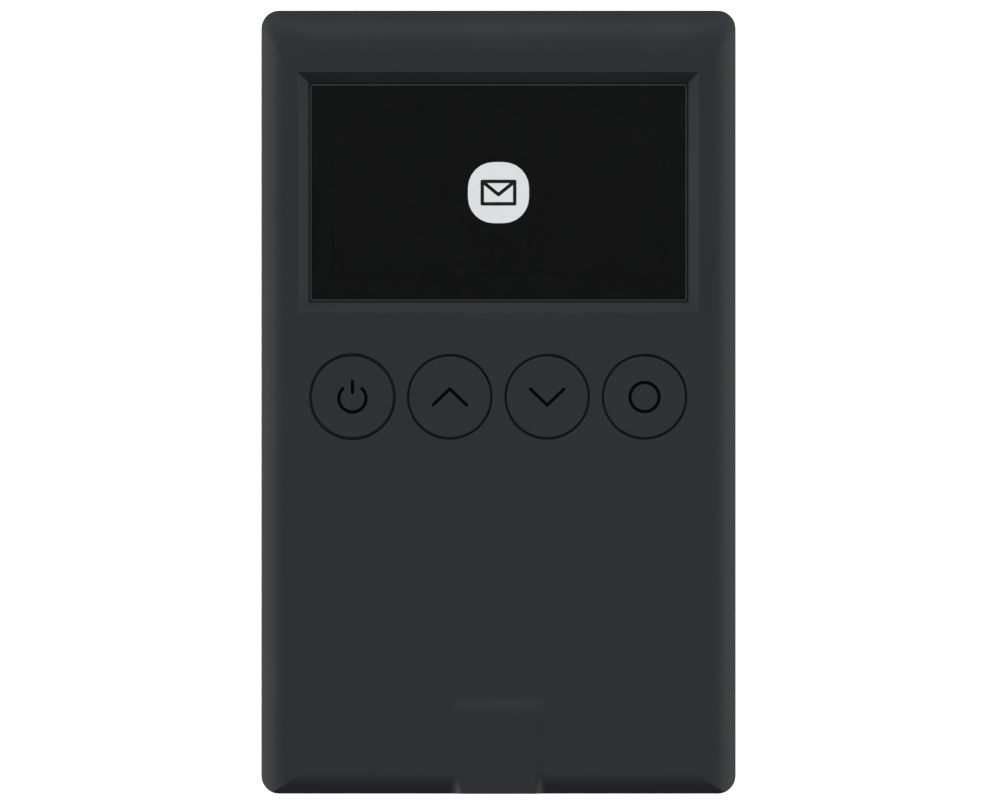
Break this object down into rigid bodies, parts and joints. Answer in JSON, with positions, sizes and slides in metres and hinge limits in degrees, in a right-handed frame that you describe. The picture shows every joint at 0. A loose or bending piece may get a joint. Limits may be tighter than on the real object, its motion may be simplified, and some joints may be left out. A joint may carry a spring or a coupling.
{
  "type": "pager",
  "caption": "Slim pocket pager with a bevelled display window, a row of flush round keys and a charge port boss at the bottom edge.",
  "frame": {"origin": "middle of the back face, with the device lying on its back", "axes": "+Z out of the front face, +Y towards the window end, +X to the right seen from the front"},
  "size_m": [0.0566, 0.0936, 0.006],
  "materials": {
    "case_plastic": "fine moulded texture, charcoal",
    "key_plastic": "fine moulded texture, charcoal",
    "lens_glass": "polished, dark printed border",
    "screw_steel": "black zinc",
    "small_steel": "bright",
    "insert_brass": "turned",
    "tape_black": "adhesive tape",
    "gasket_foam": "closed foam",
    "polariser_film": "dark film",
    "display_glass": "clear",
    "chip_black": "moulded chip body",
    "flex_amber": "polyimide",
    "socket_resin": "natural resin",
    "dome_steel": "spring temper",
    "film_clear": "thin film",
    "board_green": "solder mask",
    "shield_tin": "tinned",
    "capacitor_ceramic": "fired",
    "antenna_metal": "stamped",
    "cell_foil": "matt foil",
    "wire_red": "insulation",
    "port_steel": "nickel",
    "tongue_resin": "moulded",
    "contact_gold": "plated",
    "motor_steel": "drawn",
    "weight_metal": "sintered",
    "boot_rubber": "moulded",
    "sounder_brass": "rolled",
    "sounder_white": "silvered"
  },
  "bodies": {
    "case": {"front_cover": "case_plastic", "back_cover": "case_plastic", "display_lens": "lens_glass", "cover_screws": "screw_steel", "board_screws": "small_steel", "thread_inserts": "insert_brass", "lens_tape": "tape_black", "battery_tape": "tape_black", "display_tape": "tape_black", "display_gasket": "gasket_foam", "display_polariser": "polariser_film", "display_substrate": "display_glass", "display_cap": "display_glass", "display_driver": "chip_black", "processor": "chip_black", "memory_chip": "chip_black", "radio_chip": "chip_black", "power_chip": "chip_black", "power_coil": "chip_black", "display_flex": "flex_amber", "link_flex": "flex_amber", "display_connector": "socket_resin", "battery_socket": "socket_resin", "battery_plug": "socket_resin", "link_sockets": "socket_resin", "link_plugs": "socket_resin", "dome_power": "dome_steel", "dome_up": "dome_steel", "dome_down": "dome_steel", "dome_select": "dome_steel", "sounder_springs": "dome_steel", "dome_film": "film_clear", "main_board": "board_green", "battery_board": "board_green", "port_board": "board_green", "radio_shield": "shield_tin", "radio_crystal": "shield_tin", "capacitors": "capacitor_ceramic", "antenna_strip": "antenna_metal", "battery_cell": "cell_foil", "battery_leads": "wire_red", "motor_leads": "wire_red", "port_shell": "port_steel", "port_tongue": "tongue_resin", "port_contacts": "contact_gold", "motor_can": "motor_steel", "motor_boot": "boot_rubber", "sounder_disc": "sounder_brass", "sounder_ceramic": "sounder_white"},
    "power_key": {"key_power": "key_plastic"},
    "up_key": {"key_up": "key_plastic"},
    "down_key": {"key_down": "key_plastic"},
    "select_key": {"key_select": "key_plastic"},
    "motor_rotor": {"motor_shaft": "motor_steel", "motor_weight": "weight_metal"}
  },
  "joints": [
    {"name": "power_press", "type": "slide", "parent": "case", "child": "power_key", "axis": [0, 0, -1], "range_m": [0, 0.00025], "stiffness_N_per_m": 5000, "springref_m": -0.0001, "deforming": ["dome_power"]},
    {"name": "up_press", "type": "slide", "parent": "case", "child": "up_key", "axis": [0, 0, -1], "range_m": [0, 0.00025], "stiffness_N_per_m": 5000, "springref_m": -0.0001, "deforming": ["dome_up"]},
    {"name": "down_press", "type": "slide", "parent": "case", "child": "down_key", "axis": [0, 0, -1], "range_m": [0, 0.00025], "stiffness_N_per_m": 5000, "springref_m": -0.0001, "deforming": ["dome_down"]},
    {"name": "select_press", "type": "slide", "parent": "case", "child": "select_key", "axis": [0, 0, -1], "range_m": [0, 0.00025], "stiffness_N_per_m": 5000, "springref_m": -0.0001, "deforming": ["dome_select"]},
    {"name": "motor_spin", "type": "hinge", "parent": "case", "child": "motor_rotor", "pos_m": [0.0226, -0.022, 0.0027], "axis": [0, 1, 0], "continuous": true}
  ]
}
